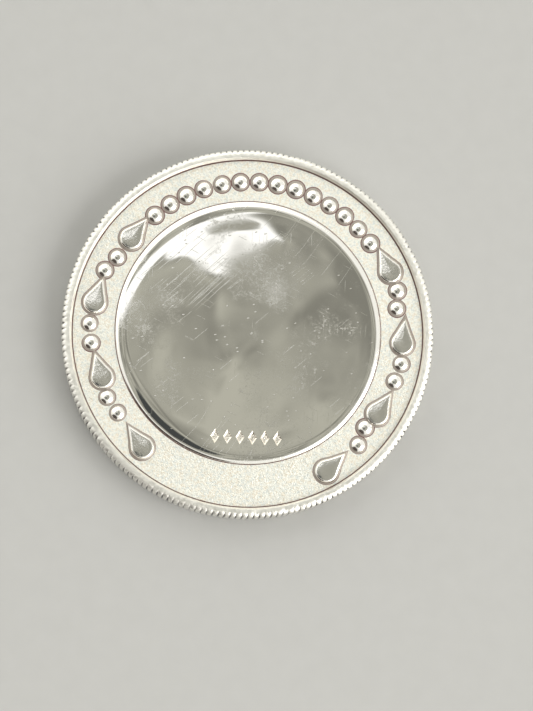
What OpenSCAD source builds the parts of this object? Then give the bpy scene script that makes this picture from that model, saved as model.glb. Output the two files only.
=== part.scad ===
// Coin-shaped golf ball marker, struck from one silver blank: a reeded rim, a frosted border with a
// horseshoe of beads and teardrops, and a raised polished centre that is left plain for engraving.
// The struck relief is kept as separate solids that meet face to face, one for each form and finish.
// Origin: middle of the plane that the reverse rim rests on. +Z is up and +Y is the pattern's top.
// Angles along the border run clockwise from +Y on the right side and mirror that on the left.

/* [Disc] */
// Diameter over the reeds
disc_d = 39; // [38.6:0.1:40]
// Thickness over both rims
disc_t = 2.95; // [2.8:0.05:3.2]
// Depth of the plain reverse field below its rim
reverse_depth = 0.28; // [0.16:0.02:0.4]

/* [Rim] */
// Diameter of the fields inside the rims, at the foot of the rim's inner wall
field_d = 36.74; // [36.6:0.02:36.9]
// Radial width of the rim's sloping inner wall
wall_w = 0.27; // [0.15:0.01:0.3]
// Radial width of the flat crest of the rim
crest_w = 0.26; // [0.2:0.01:0.3]
// Height of the rounded outer shoulder
shoulder_h = 0.42; // [0.3:0.02:0.6]
// Number of reeds around the edge
reed_count = 200; // [120:4:220]
// Depth of the V grooves between the reeds
reed_depth = 0.14; // [0.08:0.01:0.2]

/* [Border] */
// Depth of the frosted border below the rim's crest
border_depth = 0.5; // [0.45:0.01:0.6]

/* [Centre] */
// Diameter of the raised centre at its foot
boss_d = 27.84; // [27.4:0.02:28]
// Depth of the centre's top below the rim's crest
boss_drop = 0.13; // [0.08:0.01:0.2]
// Radial width of the centre's rolled edge
roll_w = 1.62; // [1:0.02:2]
// Number of sunk lozenges in the small row on the centre
mark_count = 6; // [1:1:7]
// Distance from one lozenge to the next
mark_pitch = 1.3; // [1.2:0.05:1.35]
// Depth of each lozenge
mark_depth = 0.14; // [0.05:0.01:0.2]

/* [Beads] */
// Diameter of a bead at its foot
bead_d = 1.86; // [1.5:0.02:1.88]
// Diameter of the polished dome on a bead
dome_d = 1.52; // [1.2:0.02:1.6]
// Height of a bead above the border
bead_h = 0.42; // [0.3:0.01:0.44]
// Number of beads in the row across the top
top_count = 14; // [8:2:14]
// Angle from one bead of the top row to the next
top_pitch = 7.29; // [7.2:0.01:7.4]

/* [Teardrops] */
// Radius of a drop's round end at its foot
drop_r = 1.4; // [1.2:0.02:1.45]
// Distance from the middle of the round end to the tip
drop_l = 3.2; // [3:0.05:3.3]
// Height of a drop above the border
drop_h = 0.42; // [0.3:0.01:0.44]
// Width of the sloping flank around a drop
flank_w = 0.22; // [0.1:0.01:0.3]

/* [Hidden] */
$fn = 96;
disc_r = disc_d / 2;
field_r = field_d / 2;
boss_r = boss_d / 2;
bead_r = bead_d / 2;
dome_r = dome_d / 2;
crest_in = field_r + wall_w;
crest_out = crest_in + crest_w;
border_z = disc_t - border_depth;
boss_z = disc_t - boss_drop;
seat_z = disc_t / 2;           // the border and the centre both rest on the core here
border_mid = (boss_r + field_r) / 2;
foot_h = 0.14;                 // height of the steep flank round each bead and drop
edge_spare = 0.05;
shoulder_steps = 3;
roll_steps = 6;
arc_steps = 24;
crown_r = 8;                   // radius of the gently domed top of a drop

// The top row follows an arc struck a little off the disc's own middle.
arc_mid = [0.23, 0.5];
arc_r = border_mid - 0.55;
arc_turn = -0.7;

// Row of lozenges: its middle, its turn, and the width and height of one lozenge.
mark_mid = [1.2, -11.1];
mark_turn = 5;
mark_size = [0.95, 1.6];

// Each side's motifs, as angle and radial offset from the border's middle, and a drop's lean outward.
right_beads = [[66.5, 0.25], [73, -0.25], [94, 0.25], [101, 0.05], [122, -0.35], [128.5, 0.35]];
left_beads = [[68, -0.35], [74.5, 0.2], [95, 0.45], [102, 0.3], [123, 0.15], [130, -0.05]];
right_drops = [[59, 0.25, -2], [86.5, 0.1, 1], [115, -0.15, 4], [143.5, 0.55, -14]];
left_drops = [[59, -0.4, 1], [87, 0.2, -9], [115.5, -0.15, -2], [145.5, 0.3, -15]];

function name(stem, i) = str(stem, i < 9 ? "_0" : "_", i + 1);
function names(stem, count) = [for (i = [0 : count - 1]) name(stem, i)];
function polar(angle, radius) = [radius * sin(angle), radius * cos(angle)];
function top_place(i) =
    arc_mid + polar(arc_turn + top_pitch * (i - (top_count - 1) / 2), arc_r);
function side_place(spot, side) = polar(side * spot[0], border_mid + spot[1]);

bead_places = concat(
    [for (i = [0 : top_count - 1]) top_place(i)],
    [for (spot = right_beads) side_place(spot, 1)],
    [for (spot = left_beads) side_place(spot, -1)]);

// Round slab inside the rim, with the plain reverse field as its underside.
module blank_core() {
    color("darkgray")
    translate([0, 0, reverse_depth])
    cylinder(r = field_r, h = seat_z - reverse_depth);
}

// Quarter-ellipse shoulder of the rim, from the crest out to just past the edge, where the reeds cut it.
function shoulder(z_side, z_crest) = [
    for (i = [0 : shoulder_steps])
    let (a = 90 * i / shoulder_steps)
    [crest_out + (disc_r + edge_spare - crest_out) * sin(a), z_side + (z_crest - z_side) * cos(a)]];
function reversed(points) = [for (i = [len(points) - 1 : -1 : 0]) points[i]];

module rim_profile() {
    polygon(concat(
        [[field_r, border_z], [crest_in, disc_t]],
        shoulder(disc_t - shoulder_h, disc_t),
        reversed(shoulder(shoulder_h, 0)),
        [[crest_in, 0], [field_r, reverse_depth]]));
}

// Outline of the reeded edge: a land and a V groove for each reed.
module reed_outline() {
    step = 360 / reed_count;
    polygon([
        for (i = [0 : reed_count - 1])
        for (corner = [[0, 0], [0.5, 0], [0.75, reed_depth]])
        polar(step * (i + corner[0]), disc_r - corner[1])]);
}

module reeded_rim() {
    color("silver")
    intersection() {
        rotate_extrude() rim_profile();
        linear_extrude(height = disc_t) reed_outline();
    }
}

module frosted_border() {
    color("gainsboro")
    translate([0, 0, seat_z])
    difference() {
        cylinder(r = field_r, h = border_z - seat_z);
        translate([0, 0, -1]) cylinder(r = boss_r, h = border_z);
    }
}

// Plain raised centre: flat top, edge rolled down to the border.
module boss_solid() {
    roll_h = boss_z - border_z;
    rotate_extrude()
    polygon(concat(
        [[0, seat_z], [boss_r, seat_z]],
        [for (i = [0 : roll_steps])
            let (a = 90 * i / roll_steps)
            [boss_r - roll_w + roll_w * cos(a), border_z + roll_h * sin(a)]],
        [[0, boss_z]]));
}

module lozenge_row() {
    for (i = [0 : mark_count - 1])
        translate([(i - (mark_count - 1) / 2) * mark_pitch, 0, 0])
        polygon([
            [mark_size[0] / 2, 0], [0, mark_size[1] / 2],
            [-mark_size[0] / 2, 0], [0, -mark_size[1] / 2]]);
}

module centre_boss() {
    color("lightgray")
    difference() {
        boss_solid();
        translate([mark_mid[0], mark_mid[1], boss_z - mark_depth])
        rotate([0, 0, mark_turn])
        linear_extrude(height = 1) lozenge_row();
    }
}

// One bead: a steep foot with a polished dome on it, part of a larger ball.
module bead(place) {
    rise = bead_h - foot_h;
    ball_r = (dome_r * dome_r + rise * rise) / (2 * rise);
    color("whitesmoke")
    translate([place[0], place[1], border_z]) {
        cylinder(r1 = bead_r, r2 = dome_r, h = foot_h);
        intersection() {
            cylinder(r = dome_r, h = bead_h);
            translate([0, 0, bead_h - ball_r]) sphere(r = ball_r);
        }
    }
}

// Teardrop outline along +X: a round end and the two tangents that meet at the tip.
module drop_outline(inset) {
    r = drop_r - inset;
    tip = drop_l * r / drop_r;
    turn = acos(r / tip);
    polygon(concat(
        [[tip, 0]],
        [for (i = [0 : arc_steps])
            let (a = turn + (360 - 2 * turn) * i / arc_steps)
            r * [cos(a), sin(a)]]));
}

module drop_solid() {
    linear_extrude(height = foot_h) drop_outline(0);
    intersection() {
        linear_extrude(height = drop_h) drop_outline(flank_w);
        translate([0, 0, drop_h - crown_r]) sphere(r = crown_r);
    }
}

// One drop on its side of the border, its tip towards the top, cut where a bead's foot meets it.
module drop(spot, side) {
    turn = side > 0 ? 180 - spot[2] : spot[2];
    place = side_place(spot, side);
    color("whitesmoke")
    difference() {
        translate([place[0], place[1], border_z])
        rotate([0, 0, turn - side * spot[0]])
        drop_solid();
        for (centre = bead_places)
            if (norm(centre - place) < drop_l + bead_r)
                translate([centre[0], centre[1], 0]) cylinder(r = bead_r, h = disc_t);
    }
}

blank_core();
reeded_rim();
frosted_border();
centre_boss();
for (i = [0 : top_count - 1])
    bead(top_place(i));
for (i = [0 : len(right_beads) - 1])
    bead(side_place(right_beads[i], 1));
for (i = [0 : len(left_beads) - 1])
    bead(side_place(left_beads[i], -1));
for (i = [0 : len(right_drops) - 1])
    drop(right_drops[i], 1);
for (i = [0 : len(left_drops) - 1])
    drop(left_drops[i], -1);
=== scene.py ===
import math
import random

import bmesh
import bpy
from mathutils import Matrix, Vector


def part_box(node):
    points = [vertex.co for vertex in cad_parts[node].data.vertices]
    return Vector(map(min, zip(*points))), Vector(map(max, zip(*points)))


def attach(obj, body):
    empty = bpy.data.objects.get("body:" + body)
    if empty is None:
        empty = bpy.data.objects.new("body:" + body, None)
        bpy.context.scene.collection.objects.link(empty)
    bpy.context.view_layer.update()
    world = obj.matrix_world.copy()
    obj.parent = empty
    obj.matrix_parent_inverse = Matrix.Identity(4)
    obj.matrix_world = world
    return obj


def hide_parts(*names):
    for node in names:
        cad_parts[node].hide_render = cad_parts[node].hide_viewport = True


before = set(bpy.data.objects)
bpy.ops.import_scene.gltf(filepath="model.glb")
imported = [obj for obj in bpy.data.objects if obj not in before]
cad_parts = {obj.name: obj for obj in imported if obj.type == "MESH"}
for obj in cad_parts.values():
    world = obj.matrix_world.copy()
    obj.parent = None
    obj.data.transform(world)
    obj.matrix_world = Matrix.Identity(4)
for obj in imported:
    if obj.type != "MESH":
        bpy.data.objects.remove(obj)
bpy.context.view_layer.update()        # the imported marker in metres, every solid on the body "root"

mm = 0.001
random.seed(39)

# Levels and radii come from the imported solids.
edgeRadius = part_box("reeded_rim")[1].x
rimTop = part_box("reeded_rim")[1].z
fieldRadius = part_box("frosted_border")[1].x
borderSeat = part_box("frosted_border")[0].z
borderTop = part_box("frosted_border")[1].z
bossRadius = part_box("centre_boss")[1].x
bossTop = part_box("centre_boss")[1].z
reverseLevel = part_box("blank_core")[0].z


# small helpers for modelling
def nothingSelected():
    if bpy.context.object and bpy.context.object.mode != "OBJECT":
        bpy.ops.object.mode_set(mode="OBJECT")
    bpy.ops.object.select_all(action="DESELECT")


def makeActive(piece):
    nothingSelected()
    bpy.context.view_layer.objects.active = piece
    piece.select_set(True)


def editAll(piece):
    makeActive(piece)
    bpy.ops.object.mode_set(mode="EDIT")
    bpy.ops.mesh.select_mode(type="VERT")
    bpy.ops.mesh.select_all(action="SELECT")


def leaveEdit():
    bpy.ops.object.mode_set(mode="OBJECT")


def startPoint(name, place):
    # a plane merged to one point, ready to be extruded into a profile
    nothingSelected()
    bpy.ops.mesh.primitive_plane_add(size=mm, location=(0, 0, 0))
    piece = bpy.context.object
    piece.name = name
    piece.data.name = name
    bpy.ops.object.mode_set(mode="EDIT")
    bpy.ops.mesh.select_mode(type="VERT")
    bpy.ops.mesh.select_all(action="SELECT")
    bpy.ops.mesh.merge(type="CENTER")
    bpy.ops.transform.translate(value=place)
    return piece


def drawProfile(name, points):
    # points are (radius, height); the line is drawn in the XZ plane one extrude at a time
    piece = startPoint(name, (points[0][0], 0, points[0][1]))
    for before, after in zip(points, points[1:]):
        step = (after[0] - before[0], 0, after[1] - before[1])
        bpy.ops.mesh.extrude_region_move(TRANSFORM_OT_translate={"value": step})
    return piece


def spinProfile(steps, angle=2 * math.pi):
    # turns the profile being edited into a body round Z
    bpy.ops.mesh.select_all(action="SELECT")
    bpy.ops.mesh.spin(steps=steps, angle=angle, center=(0, 0, 0), axis=(0, 0, 1))


def closeUp(piece, gap=0.002 * mm):
    editAll(piece)
    bpy.ops.mesh.remove_doubles(threshold=gap)
    bpy.ops.mesh.normals_make_consistent(inside=False)
    leaveEdit()


def applyModifiers(piece):
    makeActive(piece)
    for modifier in list(piece.modifiers):
        bpy.ops.object.modifier_apply(modifier=modifier.name)


def smoothShade(piece, degrees):
    makeActive(piece)
    bpy.ops.object.shade_smooth_by_angle(angle=math.radians(degrees))


swellFade = 1.2 * mm    # width over which an unevenness dies out at an edge


def addSwell(piece, name, size, strength, lowest, outer, inner=None):
    # a soft unevenness of everything above a level, dying out towards the edges of a ring or disc
    swollen = piece.vertex_groups.new(name="swollen")
    for v in piece.data.vertices:
        radius = math.hypot(v.co.x, v.co.y)
        weight = min(1, max(0, (outer - radius) / swellFade))
        if inner is not None:
            weight = min(weight, max(0, (radius - inner) / swellFade))
        if v.co.z > lowest and weight > 0:
            swollen.add([v.index], weight, "REPLACE")
    clouds = bpy.data.textures.new(name, "CLOUDS")
    clouds.noise_scale = size
    clouds.noise_depth = 0
    uneven = piece.modifiers.new(name, "DISPLACE")
    uneven.texture = clouds
    uneven.texture_coords = "LOCAL"
    uneven.direction = "Z"
    uneven.vertex_group = "swollen"
    uneven.strength = strength
    applyModifiers(piece)
    piece.vertex_groups.clear()


def arcPoints(middle, width, height, fromTurn, toTurn, steps):
    # points of a quarter ellipse or part of one, turns in degrees from +r towards +z
    points = []
    for i in range(steps + 1):
        turn = math.radians(fromTurn + (toTurn - fromTurn) * i / steps)
        points.append((middle[0] + width * math.cos(turn), middle[1] + height * math.sin(turn)))
    return points


def finishPiece(piece, material, slot, *nodes):
    piece.data.materials.clear()
    piece.data.materials.append(material)
    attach(piece, "root")
    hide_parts(*nodes)


# materials
def newMaterial(name, base, metallic, roughness):
    material = bpy.data.materials.new(name)
    material.use_nodes = True
    shader = material.node_tree.nodes["Principled BSDF"]
    shader.inputs["Base Color"].default_value = (*base, 1)
    shader.inputs["Metallic"].default_value = metallic
    shader.inputs["Roughness"].default_value = roughness
    return material


def addNode(material, kind, settings=None, values=None, links=None):
    node = material.node_tree.nodes.new(kind)
    for key, value in (settings or {}).items():
        setattr(node, key, value)
    for key, value in (values or {}).items():
        node.inputs[key].default_value = value
    for key, socket in (links or {}).items():
        material.node_tree.links.new(socket, node.inputs[key])
    return node


def plug(material, name, socket):
    shader = material.node_tree.nodes["Principled BSDF"]
    material.node_tree.links.new(socket, shader.inputs[name])


def objectPlace(material, scale=(1, 1, 1)):
    source = addNode(material, "ShaderNodeTexCoord")
    mapping = addNode(
        material, "ShaderNodeMapping",
        values={"Scale": scale}, links={"Vector": source.outputs["Object"]})
    return mapping.outputs["Vector"]


def noise(material, place, size, detail=2.0, distortion=0.0):
    node = addNode(
        material, "ShaderNodeTexNoise",
        values={"Scale": 1 / size, "Detail": detail, "Distortion": distortion},
        links={"Vector": place})
    return node.outputs["Fac"]


def remap(material, value, low, high, outLow, outHigh):
    node = addNode(
        material, "ShaderNodeMapRange",
        values={"From Min": low, "From Max": high, "To Min": outLow, "To Max": outHigh},
        links={"Value": value})
    return node.outputs["Result"]


def combine(material, how, first, second):
    node = addNode(material, "ShaderNodeMath", settings={"operation": how, "use_clamp": True})
    for i, value in enumerate((first, second)):
        if isinstance(value, (int, float)):
            node.inputs[i].default_value = value
        else:
            material.node_tree.links.new(value, node.inputs[i])
    return node.outputs[0]


def blendColours(material, amount, first, second):
    node = addNode(material, "ShaderNodeMix", settings={"data_type": "RGBA"})
    material.node_tree.links.new(amount, node.inputs["Factor"])
    for name, value in (("A", first), ("B", second)):
        socket = [s for s in node.inputs if s.name == name and s.type == "RGBA"][0]
        if isinstance(value, tuple):
            socket.default_value = (*value, 1)
        else:
            material.node_tree.links.new(value, socket)
    return [s for s in node.outputs if s.type == "RGBA"][0]


def bump(material, height, distance, under=None):
    links = {"Height": height}
    if under is not None:
        links["Normal"] = under
    node = addNode(
        material, "ShaderNodeBump",
        values={"Distance": distance, "Strength": 1.0}, links=links)
    return node.outputs["Normal"]


strokeReach = 0.16         # half the thickness of a stroke, as a share of its cell
strokeBendSize = 6 * mm    # size of the wander that bends strokes


def scratches(material, turn, length, width, share, seed, warp):
    # thin tapering strokes: one random point in each long narrow cell, most cells left empty
    place = objectPlace(material)
    wander = addNode(
        material, "ShaderNodeTexNoise",
        values={"Scale": 1 / strokeBendSize, "Detail": 1.0}, links={"Vector": place})
    moved = addNode(
        material, "ShaderNodeVectorMath", settings={"operation": "MULTIPLY_ADD"},
        values={1: (warp, warp, 0)},
        links={0: wander.outputs["Color"], 2: place})
    mapping = addNode(
        material, "ShaderNodeMapping", settings={"vector_type": "TEXTURE"},
        values={
            "Rotation": (0, 0, math.radians(turn)),
            "Scale": (length / (2 * strokeReach), width / (2 * strokeReach), 1),
            "Location": (seed * 7.31 * mm, seed * 3.17 * mm, 0)},
        links={"Vector": moved.outputs[0]})
    cells = addNode(
        material, "ShaderNodeTexVoronoi", settings={"voronoi_dimensions": "2D"},
        values={"Scale": 1.0, "Randomness": 1.0}, links={"Vector": mapping.outputs["Vector"]})
    stroke = remap(material, cells.outputs["Distance"], strokeReach, strokeReach * 0.25, 0, 1)
    pick = addNode(
        material, "ShaderNodeSeparateColor", links={"Color": cells.outputs["Color"]})
    kept = combine(material, "LESS_THAN", pick.outputs[0], share)
    return combine(material, "MULTIPLY", stroke, kept)


def nearSpot(material, spot, inner, outer):
    place = objectPlace(material)
    node = addNode(
        material, "ShaderNodeVectorMath", settings={"operation": "DISTANCE"},
        values={1: spot}, links={0: place})
    return remap(material, node.outputs["Value"], outer, inner, 0, 1)


def heightBand(material, low, high):
    place = objectPlace(material)
    split = addNode(material, "ShaderNodeSeparateXYZ", links={"Vector": place})
    return remap(material, split.outputs["Z"], low, high, 0, 1)


silver = (0.93, 0.915, 0.875)
paintedCornerShade = (0.21, 0.115, 0.11)    # painted shade: the thin dark line where a struck corner looks dark
flankShadeTone = (0.36, 0.32, 0.285)     # painted shade: darker colour for the dull, rougher slope round a bead or drop, standing in for its dim reflection


polishFinish = {
    "smudgeSize": 4.5 * mm,
    "speckleSize": 0.5 * mm,
    "mirrorRoughness": (0.04, 0.11),
    "rubRoughness": 0.22,
    "scratchRoughness": 0.45,
    "scratchDepth": 0.005 * mm,
    "footShadeLine": (0.09 * mm, 0.03 * mm),    # heights above the border where the painted shade at the centre's foot starts and is full
    # turn, length, width, share of cells filled, seed, bend, strength
    "scratches": [
        (50, 7 * mm, 0.04 * mm, 0.8, 1, 0.25 * mm, 0.5),
        (47, 2.0 * mm, 0.035 * mm, 0.05, 2, 0.25 * mm, 0.4),
        (-20, 1.2 * mm, 0.03 * mm, 0.04, 3, 0.25 * mm, 0.35),
        (95, 1.5 * mm, 0.03 * mm, 0.04, 4, 0.25 * mm, 0.35),
        (20, 0.3 * mm, 0.12 * mm, 0.06, 5, 0.25 * mm, 0.6),
        (60, 8 * mm, 0.025 * mm, 0.04, 6, 1.2 * mm, 0.4),
    ],
    # the first, dense set is kept to one spot: its middle, and where it is full and gone
    "spot": (-6.4 * mm, 5.6 * mm, bossTop),
    "spotReach": (1.6 * mm, 4.4 * mm),
}


def makePolishedSilver():
    f = polishFinish
    material = newMaterial("polishedSilver", silver, 1.0, 0.06)
    place = objectPlace(material)
    # cloudy rub marks, a little rougher than the mirror round them
    smudge = noise(material, place, f["smudgeSize"], 5, 0.6)
    rubbed = remap(material, smudge, 0.5, 0.72, 0, 1)
    speckle = remap(material, noise(material, place, f["speckleSize"], 4, 1.5), 0.5, 0.66, 0, 1)
    rubs = combine(material, "MULTIPLY", rubbed, speckle)
    haze = combine(
        material, "ADD", remap(material, smudge, 0.45, 0.75, *f["mirrorRoughness"]),
        combine(material, "MULTIPLY", rubs, f["rubRoughness"]))
    marks = None
    for *stroke, strength in f["scratches"]:
        mask = scratches(material, *stroke)
        if marks is None:
            mask = combine(material, "MULTIPLY", mask, nearSpot(material, f["spot"], *f["spotReach"]))
        weighted = combine(material, "MULTIPLY", mask, strength)
        marks = weighted if marks is None else combine(material, "MAXIMUM", marks, weighted)
    rough = combine(material, "MULTIPLY", marks, f["scratchRoughness"])
    plug(material, "Roughness", combine(material, "ADD", haze, rough))
    plug(material, "Normal", bump(material, marks, f["scratchDepth"]))
    # painted shade: the foot of the polished centre is coloured dark, as a corner in shade
    foot = heightBand(material, *(borderTop + rise for rise in f["footShadeLine"]))
    plug(material, "Base Color", blendColours(material, foot, silver, paintedCornerShade))
    return material


def makePunchedSilver():
    material = newMaterial("punchedSilver", (0.97, 0.92, 0.83), 1.0, 0.3)
    place = objectPlace(material)
    grain = noise(material, place, 0.2 * mm, 3)
    plug(material, "Normal", bump(material, grain, 0.09 * mm))
    plug(material, "Roughness", remap(material, grain, 0.35, 0.65, 0.18, 0.36))
    return material


def ringDistance(material, radius):
    # 0 on a circle of this radius round the disc's middle, growing away from it on both sides
    place = objectPlace(material, (1, 1, 0))
    length = addNode(
        material, "ShaderNodeVectorMath", settings={"operation": "LENGTH"}, links={0: place})
    away = addNode(
        material, "ShaderNodeMath", settings={"operation": "SUBTRACT"},
        values={1: radius}, links={0: length.outputs["Value"]})
    return addNode(
        material, "ShaderNodeMath", settings={"operation": "ABSOLUTE"},
        links={0: away.outputs[0]}).outputs[0]


frostFinish = {
    "grainSize": 0.13 * mm,
    "grainDepth": 0.065 * mm,
    "coarseSize": 0.42 * mm,
    "coarseDepth": 0.06 * mm,
    "roughness": (0.40, 0.58),
    "patchSize": 3.5 * mm,
    "patchTones": ((0.96, 0.96, 0.895), (0.94, 0.93, 0.855)),
    "sparkleSize": 0.2 * mm,
    "tintSize": 0.38 * mm,
    "sparkleTones": ((0.88, 0.83, 0.72), (0.80, 0.83, 0.80)),
    # distances from a corner where its painted shade line starts and is full
    "innerShadeLine": (0.10 * mm, 0.04 * mm),
    "outerShadeLine": (0.08 * mm, 0.03 * mm),
}


def makeFrostedSilver():
    f = frostFinish
    material = newMaterial("frostedSilver", silver, 1.0, 0.42)
    place = objectPlace(material)
    grain = noise(material, place, f["grainSize"], 3)
    coarse = noise(material, place, f["coarseSize"], 3)
    fine = bump(material, grain, f["grainDepth"])
    plug(material, "Normal", bump(material, coarse, f["coarseDepth"], fine))
    plug(material, "Roughness", remap(material, grain, 0.3, 0.7, *f["roughness"]))
    patches = remap(material, noise(material, place, f["patchSize"], 3), 0.35, 0.7, 0, 1)
    field = blendColours(material, patches, *f["patchTones"])
    sparkle = remap(material, noise(material, place, f["sparkleSize"], 2), 0.43, 0.59, 0, 1)
    warmCool = remap(material, noise(material, place, f["tintSize"], 1), 0.45, 0.55, 0, 1)
    pinprick = blendColours(material, warmCool, *f["sparkleTones"])
    field = blendColours(material, sparkle, field, pinprick)
    # painted shade: dark lines at the foot of the centre and of the rim, where the corners look dark
    innerShadeLine = remap(material, ringDistance(material, bossRadius), *f["innerShadeLine"], 0, 1)
    outerShadeLine = remap(material, ringDistance(material, fieldRadius), *f["outerShadeLine"], 0, 1)
    cornerShadeLines = combine(material, "MAXIMUM", innerShadeLine, outerShadeLine)
    plug(material, "Base Color", blendColours(material, cornerShadeLines, field, paintedCornerShade))
    return material


reliefFinish = {
    # heights above the border, and above the top of the flank, that one finish fades over
    # corner: painted shade, a dark line at the foot of each bead and drop
    "corner": (0.012 * mm, 0.004 * mm),
    "polishStart": (-0.012 * mm, 0.006 * mm),
    "mottleSize": 0.22 * mm,
    "flankRoughness": (0.45, 0.6),
    "flankMetallic": 0.6,
    "crownSpread": 0.1,       # how much rougher the crown gets in places
}


def makeReliefSilver(name, sizes):
    # painted shade in the corner, a darker painted-shade colour on the dull flank, polished crown,
    # told apart by height above the border
    f = reliefFinish
    smooth = sizes["crownRoughness"]
    material = newMaterial(name, silver, 1.0, smooth)
    place = objectPlace(material)
    # painted shade at the foot of the relief
    corner = heightBand(material, *(borderTop + rise for rise in f["corner"]))
    polished = heightBand(material, *(borderTop + sizes["flank"] + rise for rise in f["polishStart"]))
    mottle = noise(material, place, f["mottleSize"], 3)
    # painted shade: the flank gets a darker colour for its dim reflection, with a random mottle; its
    # higher roughness is real
    shadedFlank = blendColours(material, mottle, flankShadeTone, tuple(c * 1.25 for c in flankShadeTone))
    base = blendColours(material, polished, shadedFlank, silver)
    plug(material, "Base Color", blendColours(material, corner, base, paintedCornerShade))
    flank = remap(material, mottle, 0.3, 0.7, *f["flankRoughness"])
    crown = remap(material, mottle, 0.4, 0.75, smooth, smooth + f["crownSpread"])
    node = addNode(material, "ShaderNodeMix", settings={"data_type": "FLOAT"})
    material.node_tree.links.new(polished, node.inputs[0])
    material.node_tree.links.new(flank, node.inputs[2])
    material.node_tree.links.new(crown, node.inputs[3])
    plug(material, "Roughness", node.outputs[0])
    plug(material, "Metallic", remap(material, polished, 0, 1, f["flankMetallic"], 1))
    plug(material, "Normal", bump(material, mottle, sizes["pitting"]))
    return material


rimFinish = {
    "wornTone": (0.94, 0.925, 0.87),
    "grooveShadeTone": (0.12, 0.112, 0.115),
    "wallTone": (0.93, 0.905, 0.85),
    "grooveShadeDepths": (0.08 * mm, 0.3 * mm),    # below the crest, where the painted shade in the grooves starts and is full
    "wallEdge": 0.03 * mm,
    "footShadeLine": (0.085 * mm, 0.045 * mm),    # distances from the foot where the painted shade line starts and is full
    "mottleSize": 0.3 * mm,
    "mottleDepth": 0.05 * mm,
    "roughness": (0.34, 0.54),
}


def makeRimSilver():
    f = rimFinish
    material = newMaterial("reededSilver", silver, 1.0, 0.3)
    place = objectPlace(material)
    groove = addNode(material, "ShaderNodeAttribute", settings={"attribute_name": "groove"})
    mottle = noise(material, place, f["mottleSize"], 4)
    # painted shade: the reed grooves below the crest are coloured near black, as recesses in shade
    low = heightBand(material, *(rimTop - depth for depth in f["grooveShadeDepths"]))
    inGroove = remap(material, groove.outputs["Fac"], 0.18, 0.6, 0.08, 1)
    grooveShade = combine(material, "MULTIPLY", inGroove, low)
    shadedReeds = blendColours(material, grooveShade, f["wornTone"], f["grooveShadeTone"])
    halfWall = 0.5 * rimSizes["wall"]
    wallMiddle = ringDistance(material, fieldRadius + halfWall)
    wallBand = remap(material, wallMiddle, halfWall, halfWall - f["wallEdge"], 0, 1)
    toned = blendColours(material, wallBand, shadedReeds, f["wallTone"])
    # painted shade: dark line at the foot of the rim's inner wall
    footShadeLine = remap(material, ringDistance(material, fieldRadius), *f["footShadeLine"], 0, 1)
    plug(material, "Base Color", blendColours(material, footShadeLine, toned, paintedCornerShade))
    plug(material, "Roughness", remap(material, mottle, 0.3, 0.7, *f["roughness"]))
    plug(material, "Normal", bump(material, mottle, f["mottleDepth"]))
    return material


def makeReverseSilver():
    material = newMaterial("reverseSilver", silver, 1.0, 0.35)
    place = objectPlace(material)
    grain = noise(material, place, 0.16 * mm, 3)
    plug(material, "Normal", bump(material, grain, 0.015 * mm))
    wear = noise(material, place, 4 * mm, 4)
    plug(material, "Roughness", remap(material, wear, 0.3, 0.7, 0.28, 0.45))
    return material


# rim
rimSizes = {
    "reeds": 200,
    "stepsPerReed": 8,
    "reedDepth": 0.12 * mm,
    "reedStart": 0.12 * mm,   # past the crest, where the grooves begin
    "wall": 0.27 * mm,        # slope from the field up to the crest
    "crest": 0.22 * mm,
    "shoulder": 0.42 * mm,    # height of the rounded outer corner
    "softening": 0.05 * mm,   # radius of the corner between slope and crest
    "overlap": 0.05 * mm,     # how far the section reaches past both fields
    "grooveSharpness": 1.8,
    "rubWaves": (17, 5),      # how often round the edge the reeds are rubbed flatter
    "weld": 0.004 * mm,
    "nicks": 26,
    "nickSpread": (0.010, 0.03),    # in radians round the edge
    "nickShare": (0.3, 1.0),
    "nickDepth": 0.05 * mm,
}


def rimProfile():
    # around the section: foot of the upper inner wall, crest, outer edge, lower crest, lower foot
    s = rimSizes
    crestIn = fieldRadius + s["wall"]
    crestOut = crestIn + s["crest"]
    upper = [(fieldRadius, borderTop - s["overlap"]), (fieldRadius, borderTop)]
    upper += [(fieldRadius + 0.45 * s["wall"], borderTop + 0.52 * (rimTop - borderTop))]
    upper += arcPoints((crestIn, rimTop - s["softening"]), s["softening"], s["softening"], 150, 90, 3)
    upper += arcPoints(
        (crestOut, rimTop - s["shoulder"]), edgeRadius - crestOut, s["shoulder"], 90, 0, 8)
    side = [(edgeRadius, rimTop * (0.5 + 0.3 * t)) for t in (0.6, 0, -0.6)]
    lower = [(r, rimTop - z) for r, z in reversed(upper[3:])]
    lower += [(fieldRadius, reverseLevel), (fieldRadius, reverseLevel + s["overlap"])]
    return upper + side + lower


def reedWave(turn):
    # 1 at the bottom of a groove, 0 on top of a reed
    phase = turn / (2 * math.pi) * rimSizes["reeds"]
    return (1 - abs(math.sin(math.pi * phase))) ** rimSizes["grooveSharpness"]


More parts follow.
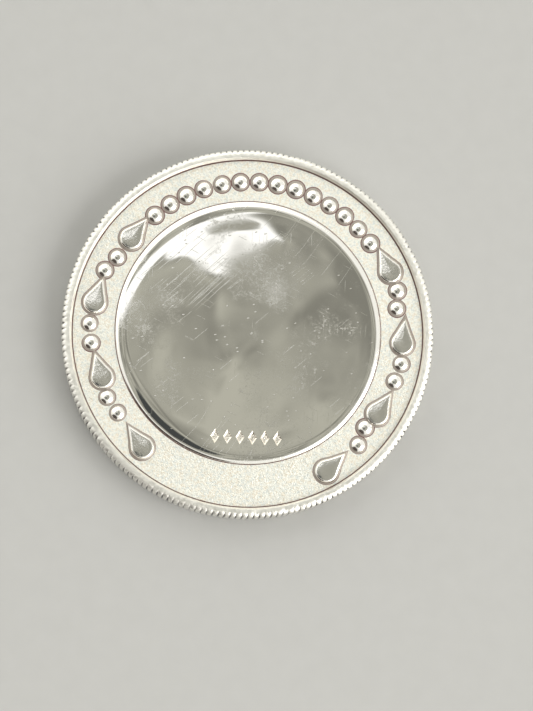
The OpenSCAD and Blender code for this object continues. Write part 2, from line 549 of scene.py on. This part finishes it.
def makeRim(material):
    s = rimSizes
    pitch = 2 * math.pi / s["reeds"]
    piece = drawProfile("struckRim", rimProfile())
    spinProfile(s["stepsPerReed"], pitch)
    leaveEdit()
    turner = bpy.data.objects.new("reedTurner", None)
    bpy.context.scene.collection.objects.link(turner)
    turner.rotation_euler = (0, 0, pitch)
    makeActive(piece)
    repeat = piece.modifiers.new("reeds", "ARRAY")
    repeat.count = s["reeds"]
    repeat.use_relative_offset = False
    repeat.use_object_offset = True
    repeat.offset_object = turner
    applyModifiers(piece)
    bpy.data.objects.remove(turner)
    editAll(piece)
    bpy.ops.mesh.remove_doubles(threshold=s["weld"])
    # the open slot round the inside is bridged, which shuts the section
    bpy.ops.mesh.select_all(action="DESELECT")
    bpy.ops.mesh.select_mode(type="EDGE")
    bpy.ops.mesh.select_non_manifold()
    bpy.ops.mesh.bridge_edge_loops()
    bpy.ops.mesh.select_all(action="SELECT")
    bpy.ops.mesh.normals_make_consistent(inside=False)
    leaveEdit()

    nicks = [
        (random.uniform(0, 2 * math.pi), random.uniform(*s["nickSpread"]),
         random.uniform(*s["nickShare"]))
        for _ in range(s["nicks"])]
    reeds = piece.vertex_groups.new(name="reeds")
    dents = piece.vertex_groups.new(name="dents")
    grooves = []
    crestOut = fieldRadius + s["wall"] + s["crest"]
    often, seldom = s["rubWaves"]
    for v in piece.data.vertices:
        radius = math.hypot(v.co.x, v.co.y)
        turn = math.atan2(v.co.y, v.co.x) % (2 * math.pi)
        past = radius - crestOut - s["reedStart"]
        fade = min(1, max(0, past / (0.6 * (edgeRadius - crestOut))))
        # struck reeds are uneven, and rubbed nearly flat here and there
        depth = 0.75 + 0.25 * math.sin(turn * often) * math.sin(turn * seldom + 1)
        weight = reedWave(turn) * fade * depth
        grooves.append(weight)
        if weight > 0:
            reeds.add([v.index], weight, "REPLACE")
        dent = 0
        if radius > fieldRadius + 0.5 * s["wall"] and v.co.z > rimTop - s["shoulder"]:
            for where, spread, depthShare in nicks:
                away = (turn - where + math.pi) % (2 * math.pi) - math.pi
                dent = max(dent, depthShare * math.exp(-(away / spread) ** 2))
        if dent > 0.01:
            dents.add([v.index], dent, "REPLACE")
    for group, depth in (("reeds", s["reedDepth"]), ("dents", s["nickDepth"])):
        press = piece.modifiers.new(group, "DISPLACE")
        press.vertex_group = group
        press.direction = "NORMAL"
        press.mid_level = 0
        press.strength = -depth
    applyModifiers(piece)
    piece.vertex_groups.clear()
    groove = piece.data.attributes.new("groove", "FLOAT", "POINT")
    groove.data.foreach_set("value", grooves)
    smoothShade(piece, 40)
    finishPiece(piece, material, "rim_silver", "reeded_rim")
    print("rim:", len(piece.data.polygons), "faces")


# frosted border
borderSizes = {
    "steps": 384,
    "rings": 16,
    "unevenness": 0.02 * mm,
    "swellSize": 4 * mm,
    "underCentre": 0.1 * mm,  # how far it runs in under the centre's edge
    "underRim": 0.02 * mm,
}


def makeBorder(material):
    s = borderSizes
    inner = bossRadius - s["underCentre"]
    outer = fieldRadius + s["underRim"]
    top = [(inner + (outer - inner) * i / s["rings"], borderTop) for i in range(s["rings"] + 1)]
    points = [(inner, borderSeat), *top, (outer, borderSeat), (inner, borderSeat)]
    piece = drawProfile("frostedBorder", points)
    spinProfile(s["steps"])
    closeUp(piece)
    justUnder = borderTop - 0.01 * mm
    addSwell(piece, "borderSwell", s["swellSize"], s["unevenness"], justUnder, outer, inner)
    smoothShade(piece, 30)
    finishPiece(piece, material, "frosted_silver", "frosted_border")
    print("border:", len(piece.data.polygons), "faces")


# raised centre
bossSizes = {
    "steps": 256,
    "rings": 26,
    "roll": 2.0 * mm,         # radial width of the rolled edge where it is widest
    "narrowRoll": 0.5,        # share of that width left over most of the edge
    "wideRolls": [(135, 48, 0.5), (-135, 22, 0.4)],     # where, spread in degrees, extra share
    "rollSteps": 14,
    "crown": 0.03 * mm,       # how much the polished top falls towards the roll
    "waves": 0.09 * mm,       # how far the polish has left it off flat
    "waveSize": 6 * mm,
    "marks": 6,
    "markPitch": 1.3 * mm,
    "markSize": (0.95 * mm, 1.6 * mm),
    "markDepth": 0.13 * mm,
    "markPlace": (1.2 * mm, -11.1 * mm),
    "markTurn": 5,
    "punchTip": 0.30 * mm,    # radii and height of the punch before it is stretched to size
    "punchMouth": 0.61 * mm,
    "punchHeight": 0.2 * mm,
}


def makeMarkCutter(material):
    # a four-sided punch, copied along a short row
    s = bossSizes
    nothingSelected()
    turn = math.radians(s["markTurn"])
    row = []
    for i in range(s["marks"]):
        along = (i - (s["marks"] - 1) / 2) * s["markPitch"]
        place = (
            s["markPlace"][0] + along * math.cos(turn),
            s["markPlace"][1] + along * math.sin(turn),
            bossTop - s["markDepth"] + 0.5 * s["punchHeight"])
        bpy.ops.mesh.primitive_cone_add(
            vertices=4, radius1=s["punchTip"], radius2=s["punchMouth"], depth=s["punchHeight"],
            location=place, rotation=(0, 0, turn))
        punch = bpy.context.object
        punch.scale = (s["markSize"][0] / mm, s["markSize"][1] / mm, 1)
        row.append(punch)
    nothingSelected()
    for punch in row:
        punch.select_set(True)
    bpy.context.view_layer.objects.active = row[0]
    bpy.ops.object.join()
    bpy.ops.object.transform_apply(location=True, rotation=True, scale=True)
    cutter = bpy.context.object
    cutter.data.materials.append(material)
    return cutter


def rollShare(turn):
    # the polish has left the rolled edge widest at two places and narrow everywhere else
    share = bossSizes["narrowRoll"]
    for where, spread, extra in bossSizes["wideRolls"]:
        away = (turn - math.radians(where) + math.pi) % (2 * math.pi) - math.pi
        share += extra * math.exp(-(away / math.radians(spread)) ** 2)
    return share


def makeBoss(material, punched):
    s = bossSizes
    flat = bossRadius - s["roll"]
    rollHeight = bossTop - s["crown"] - borderTop
    top = [
        (flat * i / s["rings"], bossTop - s["crown"] * (i / s["rings"]) ** 4)
        for i in range(s["rings"])]
    roll = arcPoints((flat, borderTop), s["roll"], rollHeight, 90, 0, s["rollSteps"])
    points = top + roll + [(bossRadius, borderSeat), (0, borderSeat)]
    piece = drawProfile("polishedCentre", points)
    spinProfile(s["steps"])
    closeUp(piece)
    # the edge between flat and roll moves out wherever the roll is narrower
    for v in piece.data.vertices:
        radius = math.hypot(v.co.x, v.co.y)
        wanted = bossRadius - s["roll"] * rollShare(math.atan2(v.co.y, v.co.x))
        if radius > flat:
            part = (radius - flat) / s["roll"]
            v.co.xy *= (wanted + (bossRadius - wanted) * part) / radius
        else:
            v.co.xy *= wanted / flat
    piece.data.materials.append(material)
    addSwell(piece, "wavyTop", s["waveSize"], s["waves"], bossTop - 0.2 * mm, flat)
    cutter = makeMarkCutter(punched)
    makeActive(piece)
    sink = piece.modifiers.new("marks", "BOOLEAN")
    sink.operation = "DIFFERENCE"
    sink.solver = "EXACT"
    sink.material_mode = "TRANSFER"
    sink.object = cutter
    applyModifiers(piece)
    bpy.data.objects.remove(cutter)
    smoothShade(piece, 25)
    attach(piece, "root")
    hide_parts("centre_boss")
    print("centre:", len(piece.data.polygons), "faces", len(piece.data.materials), "finishes")


# beads
beadSizes = {
    "foot": 1.04 * mm,
    "dome": 0.71 * mm,
    "flank": 0.14 * mm,       # height of the dull flank under the dome
    "sunk": 0.05 * mm,        # how far the foot goes down into the border
    "steps": 48,
    "domeSteps": 12,
    "sizeSpread": (0.97, 1.03),
    "crownRoughness": 0.09,
    "pitting": 0.008 * mm,
}


def modelBead(height):
    # one bead standing on the origin: filleted flank, then a dome cut from a ball
    s = beadSizes
    filletWidth = s["foot"] - s["dome"] - 0.01 * mm
    flank = arcPoints((s["foot"], s["flank"]), filletWidth, s["flank"], 270, 185, 5)
    rise = height - s["flank"]
    ball = (s["dome"] ** 2 + rise ** 2) / (2 * rise)
    lean = math.degrees(math.asin(s["dome"] / ball))
    dome = arcPoints((0, height - ball), ball, ball, 90 - lean, 90, s["domeSteps"])
    dome[-1] = (0, height)
    points = [(0, -s["sunk"]), (s["foot"], -s["sunk"]), *flank, *dome]
    piece = drawProfile("bead", points)
    spinProfile(s["steps"])
    closeUp(piece, 0.001 * mm)
    smoothShade(piece, 35)
    return piece


def placeBeads(material):
    names = sorted(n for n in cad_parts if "_bead_" in n)
    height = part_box(names[0])[1].z - borderTop
    pattern = modelBead(height)
    for node in names:
        low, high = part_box(node)
        piece = pattern.copy()
        piece.data = pattern.data.copy()
        piece.name = node.replace("_bead_", "Bead")
        bpy.context.scene.collection.objects.link(piece)
        size = random.uniform(*beadSizes["sizeSpread"])
        middle = (low + high) / 2
        piece.data.transform(
            Matrix.Translation((middle.x, middle.y, borderTop))
            @ Matrix.Rotation(random.uniform(0, math.pi), 4, "Z")
            @ Matrix.Diagonal((size, size, 1, 1)))
        finishPiece(piece, material, "bead_silver", node)
    bpy.data.objects.remove(pattern)
    print("beads:", len(names))


# teardrops
dropSizes = {
    "roundSteps": 40,
    "sideCuts": 9,
    "waist": 0.97,            # how far the sides pull in
    "length": 3.2 / 1.4,      # from the round end's middle to the tip, for a radius of 1
    # each ring: share of the outline's size, height above the border in mm
    "rings": [
        (1.03, -0.05), (1.03, 0.0), (0.98, 0.012), (0.93, 0.04), (0.89, 0.09), (0.862, 0.15),
        (0.85, 0.205), (0.808, 0.27), (0.768, 0.322), (0.735, 0.348), (0.69, 0.364),
        (0.52, 0.382), (0.34, 0.395), (0.17, 0.404), (0.0, 0.407)],
    "lean": 0.02,             # steepest random tilt of a drop's top
    "leanRise": 0.12 * mm,    # height over the flank where it leans in full
    "flank": 0.19 * mm,       # height of the dull flank
    "crownRoughness": 0.12,
    "pitting": 0.012 * mm,
}


def roundEnd(node):
    # centre and radius of a CAD drop's round end, and the way its tip points
    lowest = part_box(node)[0].z
    outline = [v.co.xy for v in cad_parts[node].data.vertices if v.co.z < lowest + 0.01 * mm]
    middle = sum(outline, Vector((0, 0))) / len(outline)
    tip = max(outline, key=lambda p: (p - middle).length)
    far = max((p - tip).length for p in outline)
    kept = [p for p in outline if (p - tip).length > 0.5 * far]
    for slack in (0.4, 0.2, 0.1, 0.05, 0.02, 0.02):
        centre, radius = fitCircle(kept)
        kept = [p for p in outline if abs((p - centre).length - radius) < slack * mm]
    back = sum(((p - centre).normalized() for p in kept), Vector((0, 0)))
    return centre, radius, -back.normalized()


def fitCircle(points):
    # least squares on x2 + y2 = a x + b y + c, in mm about the points' own middle
    middle = sum(points, Vector((0, 0))) / len(points)
    rows = [((p.x - middle.x) / mm, (p.y - middle.y) / mm, 1.0) for p in points]
    square = [[sum(r[i] * r[j] for r in rows) for j in range(3)] for i in range(3)]
    right = [sum(r[i] * (r[0] ** 2 + r[1] ** 2) for r in rows) for i in range(3)]
    a, b, c = Matrix(square).inverted() @ Vector(right)
    radius = math.sqrt(c + (a * a + b * b) / 4)
    return middle + Vector((a / 2, b / 2)) * mm, radius * mm


def modelDrop(name, radius, length):
    # outline lies along +X with the round end's middle at the origin
    s = dropSizes
    nothingSelected()
    bpy.ops.mesh.primitive_circle_add(vertices=s["roundSteps"], radius=radius)
    piece = bpy.context.object
    piece.name = name
    piece.data.name = name
    bpy.ops.object.mode_set(mode="EDIT")
    bpy.ops.mesh.select_mode(type="VERT")
    tangent = radius * radius / length
    mesh = bmesh.from_edit_mesh(piece.data)
    for v in mesh.verts:
        v.select = v.co.x > tangent + 0.001 * mm
    mesh.select_flush(True)
    bpy.ops.mesh.delete(type="VERT")
    mesh = bmesh.from_edit_mesh(piece.data)
    for v in mesh.verts:
        v.select = len(v.link_edges) == 1
    mesh.select_flush(True)
    reach = max(v.co.x for v in mesh.verts if v.select)
    bpy.ops.mesh.extrude_vertices_move(TRANSFORM_OT_translate={"value": (length - reach, 0, 0)})
    bpy.ops.transform.resize(value=(1, 0, 1), center_override=(length, 0, 0))
    bpy.ops.mesh.merge(type="CENTER")
    mesh = bmesh.from_edit_mesh(piece.data)
    for e in mesh.edges:
        e.select = max(v.co.x for v in e.verts) > length - 0.01 * mm
    mesh.select_flush(True)
    bpy.ops.mesh.subdivide(number_cuts=s["sideCuts"])
    mesh = bmesh.from_edit_mesh(piece.data)
    for v in mesh.verts:
        v.select = tangent + 0.2 * length < v.co.x < length - 0.01 * mm
    bpy.ops.transform.resize(value=(1, s["waist"], 1), center_override=(0, 0, 0))
    bpy.ops.mesh.select_all(action="SELECT")
    bpy.ops.transform.resize(value=(s["rings"][0][0],) * 3, center_override=(0, 0, 0))
    bpy.ops.transform.translate(value=(0, 0, s["rings"][0][1] * mm))
    for (size, height), (nextSize, nextHeight) in zip(s["rings"], s["rings"][1:]):
        bpy.ops.mesh.extrude_region_move(
            TRANSFORM_OT_translate={"value": (0, 0, (nextHeight - height) * mm)})
        share = nextSize / size
        bpy.ops.transform.resize(value=(share, share, 1), center_override=(0, 0, 0))
    bpy.ops.mesh.select_all(action="DESELECT")
    bpy.ops.mesh.select_non_manifold()
    bpy.ops.mesh.edge_face_add()
    bpy.ops.mesh.select_all(action="SELECT")
    bpy.ops.mesh.remove_doubles(threshold=0.002 * mm)
    bpy.ops.mesh.normals_make_consistent(inside=False)
    leaveEdit()
    return piece


def placeDrops(material):
    s = dropSizes
    names = sorted(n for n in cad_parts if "_drop_" in n)
    for node in names:
        centre, radius, way = roundEnd(node)
        piece = modelDrop(node.replace("_drop_", "Drop"), radius, radius * s["length"])
        lean = [random.uniform(-s["lean"], s["lean"]) for _ in range(2)]
        for v in piece.data.vertices:
            if v.co.z > s["flank"]:
                share = min(1, (v.co.z - s["flank"]) / s["leanRise"])
                v.co.z += share * (lean[0] * v.co.x + lean[1] * v.co.y)
        makeActive(piece)
        piece.location = (centre.x, centre.y, borderTop)
        piece.rotation_euler = (0, 0, math.atan2(way.y, way.x))
        bpy.ops.object.transform_apply(location=True, rotation=True, scale=True)
        smoothShade(piece, 32)
        finishPiece(piece, material, "drop_silver", node)
    print("drops:", len(names))


# camera, floor and lights
viewPoint = {
    "distance": 207.6 * mm,
    "tilt": 9.35,             # off straight down
    "turn": -107.6,           # the side it leans to, anticlockwise from +X
    "roll": 7.4,              # the pattern's top leans this far clockwise in the picture
    "lens": 100.4,
    "aside": (1.89 * mm, -2.49 * mm),
}


def makeCamera():
    v = viewPoint
    tilt, turn, roll = (math.radians(v[k]) for k in ("tilt", "turn", "roll"))
    out = math.sin(tilt)
    back = Vector((math.cos(turn) * out, math.sin(turn) * out, math.cos(tilt)))
    right = Vector((-math.sin(roll), math.cos(roll), 0)).cross(back).normalized()
    up = back.cross(right)
    place = Vector((0, 0, borderTop)) + back * v["distance"]
    place += right * v["aside"][0] + up * v["aside"][1]
    turnTo = Matrix((right, up, back)).transposed()
    bpy.ops.object.camera_add(location=place, rotation=turnTo.to_euler())
    camera = bpy.context.object
    camera.name = "camera"
    camera.data.lens = v["lens"]
    camera.data.sensor_width = 36
    camera.data.clip_start = 0.01
    bpy.context.scene.camera = camera
    return right, up


def makeFloor():
    nothingSelected()
    bpy.ops.mesh.primitive_plane_add(size=4, location=(0, 0, 0))
    floor = bpy.context.object
    floor.name = "floor"
    material = newMaterial("paleFloor", (0.50, 0.50, 0.49), 0.0, 0.85)
    place = objectPlace(material)
    plug(material, "Base Color", blendColours(
        material, noise(material, place, 2 * mm, 4), (0.485, 0.485, 0.475), (0.52, 0.52, 0.51)))
    floor.data.materials.append(material)


def addSoftbox(name, place, size, glow, colour, shift):
    # faces the marker; shift slides it in its own plane, to the right and towards overhead
    way = Vector(place)
    level = way.cross(Vector((0, 0, 1))).normalized()
    slide = level * shift[0] + level.cross(way).normalized() * shift[1]
    bpy.ops.object.light_add(
        type="AREA", location=way + slide, rotation=way.to_track_quat("Z", "Y").to_euler())
    lamp = bpy.context.object
    lamp.name = name
    lamp.data.shape = "RECTANGLE"
    lamp.data.size, lamp.data.size_y = size
    lamp.data.energy = glow * math.pi * size[0] * size[1]
    lamp.data.color = colour


lightSizes = {
    # place is (right, up, height) as the camera sees it, in metres; glow sets how bright the face is
    "window": {
        "place": (-0.35, 0.66, 0.75), "size": (2.0, 0.99), "shift": (0, -0.194),
        "glow": 0.6, "colour": (1, 0.995, 0.945)},
    "side": {
        "place": (0.70, -0.45, 0.50), "size": (0.9, 0.7), "shift": (0, 0),
        "glow": 3.5, "colour": (1, 0.985, 0.955)},
}
roomTones = {
    "ceiling": (0.37, 0.365, 0.315),
    "ceilingShares": (0.62, 1.32),    # darkest and palest soft patch
    "walls": (0.98, 0.97, 0.92),
    "wallStart": 0.47,                # sideways share of a direction, 0 straight up and 1 level
    "wallFull": 0.56,
    "strip": (1.25, 1.25, 1.23),      # a ragged bright strip between overhead and the window
    "stripVeins": (0.85, 0.88, 0.90),
    "stripNear": 0.200,               # its reach, as the upward share of a direction
    "stripFar": 0.315,
    "stripEnd": 0.075,                # and where it stops on the right
    "stripRagged": 0.05,
}
dimPatches = {
    # direction, size and tone of a dim patch of sky, how ragged its edge is and how soft
    "overhead": ((-0.18, -0.16, 0.97), 0.17, (0.06, 0.064, 0.064), 0.12, 0.02),
    "corner": ((-0.60, -0.70, 0.32), 0.62, (0.085, 0.07, 0.062), 0.1, 0.1),
}


def makeLights(right, up):
    flatRight = Vector((right.x, right.y, 0)).normalized()
    flatUp = Vector((up.x, up.y, 0)).normalized()

    def fromCamera(place):
        return flatRight * place[0] + flatUp * place[1] + Vector((0, 0, place[2]))

    for name, lamp in lightSizes.items():
        addSoftbox(
            name, fromCamera(lamp["place"]), lamp["size"], lamp["glow"], lamp["colour"], lamp["shift"])
    dims = {name: (fromCamera(patch[0]), *patch[1:]) for name, patch in dimPatches.items()}
    makeRoom(flatRight, flatUp, dims)


def addDimPatch(world, direction, room, centre, size, tone, ragged, soft):
    # darkens the room inside a patch of sky with an uneven edge
    away = addNode(
        world, "ShaderNodeVectorMath", settings={"operation": "DISTANCE"},
        values={1: centre.normalized()}, links={0: direction})
    uneven = addNode(
        world, "ShaderNodeMath", settings={"operation": "MULTIPLY_ADD"},
        values={1: ragged},
        links={0: noise(world, direction, 0.11, 3), 2: away.outputs["Value"]})
    edge = size + 0.5 * ragged
    inside = remap(world, uneven.outputs[0], edge, edge - soft, 0, 1)
    return blendColours(world, inside, room, tone)


def brightStrip(world, direction, flatRight, flatUp):
    # 1 inside a long strip of sky with wandering edges
    tones = roomTones
    ragged = tones["stripRagged"]
    wander = noise(world, direction, 0.06, 3, 0.4)
    shares = []
    for axis in (flatRight, flatUp):
        along = addNode(
            world, "ShaderNodeVectorMath", settings={"operation": "DOT_PRODUCT"},
            values={1: axis}, links={0: direction})
        moved = addNode(
            world, "ShaderNodeMath", settings={"operation": "MULTIPLY_ADD"},
            values={1: ragged}, links={0: wander, 2: along.outputs["Value"]})
        shares.append(moved.outputs[0])
    near, far, end = (tones[key] + 0.5 * ragged for key in ("stripNear", "stripFar", "stripEnd"))
    near = remap(world, shares[1], near, near + 0.006, 0, 1)
    far = remap(world, shares[1], far, far - 0.01, 0, 1)
    end = remap(world, shares[0], end, end - 0.02, 0, 1)
    return combine(world, "MULTIPLY", combine(world, "MULTIPLY", near, far), end)


def makeRoom(flatRight, flatUp, dims):
    # grey overhead with faint soft patches, a bright strip, paler walls, and two dim patches
    tones = roomTones
    world = bpy.data.worlds.new("room")
    bpy.context.scene.world = world
    world.use_nodes = True
    direction = addNode(world, "ShaderNodeTexCoord").outputs["Generated"]
    level = addNode(
        world, "ShaderNodeVectorMath", settings={"operation": "MULTIPLY"},
        values={1: (1, 1, 0)}, links={0: direction})
    sideways = addNode(
        world, "ShaderNodeVectorMath", settings={"operation": "LENGTH"},
        links={0: level.outputs["Vector"]})
    patches = remap(world, noise(world, direction, 0.07, 2), 0.38, 0.62, 0, 1)
    darker, paler = (tuple(c * share for c in tones["ceiling"]) for share in tones["ceilingShares"])
    room = blendColours(world, patches, darker, paler)
    room = addDimPatch(world, direction, room, *dims["overhead"])
    veins = remap(world, noise(world, direction, 0.03, 2, 1.5), 0.54, 0.68, 0, 1)
    stripTone = blendColours(world, veins, tones["strip"], tones["stripVeins"])
    room = blendColours(world, brightStrip(world, direction, flatRight, flatUp), room, stripTone)
    wall = remap(world, sideways.outputs["Value"], tones["wallStart"], tones["wallFull"], 0, 1)
    room = blendColours(world, wall, room, tones["walls"])
    room = addDimPatch(world, direction, room, *dims["corner"])
    background = world.node_tree.nodes["Background"]
    world.node_tree.links.new(room, background.inputs["Color"])
    bpy.context.scene.view_settings.view_transform = "Standard"


# the marker is put together here
right, up = makeCamera()
makeFloor()
makeLights(right, up)
print("stage is set")

makeRim(makeRimSilver())
makeBorder(makeFrostedSilver())
makeBoss(makePolishedSilver(), makePunchedSilver())
placeBeads(makeReliefSilver("beadSilver", beadSizes))
placeDrops(makeReliefSilver("dropSilver", dropSizes))

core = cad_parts["blank_core"]
for materialSlot in core.material_slots:
    materialSlot.material = makeReverseSilver()
print("reverse finish set")
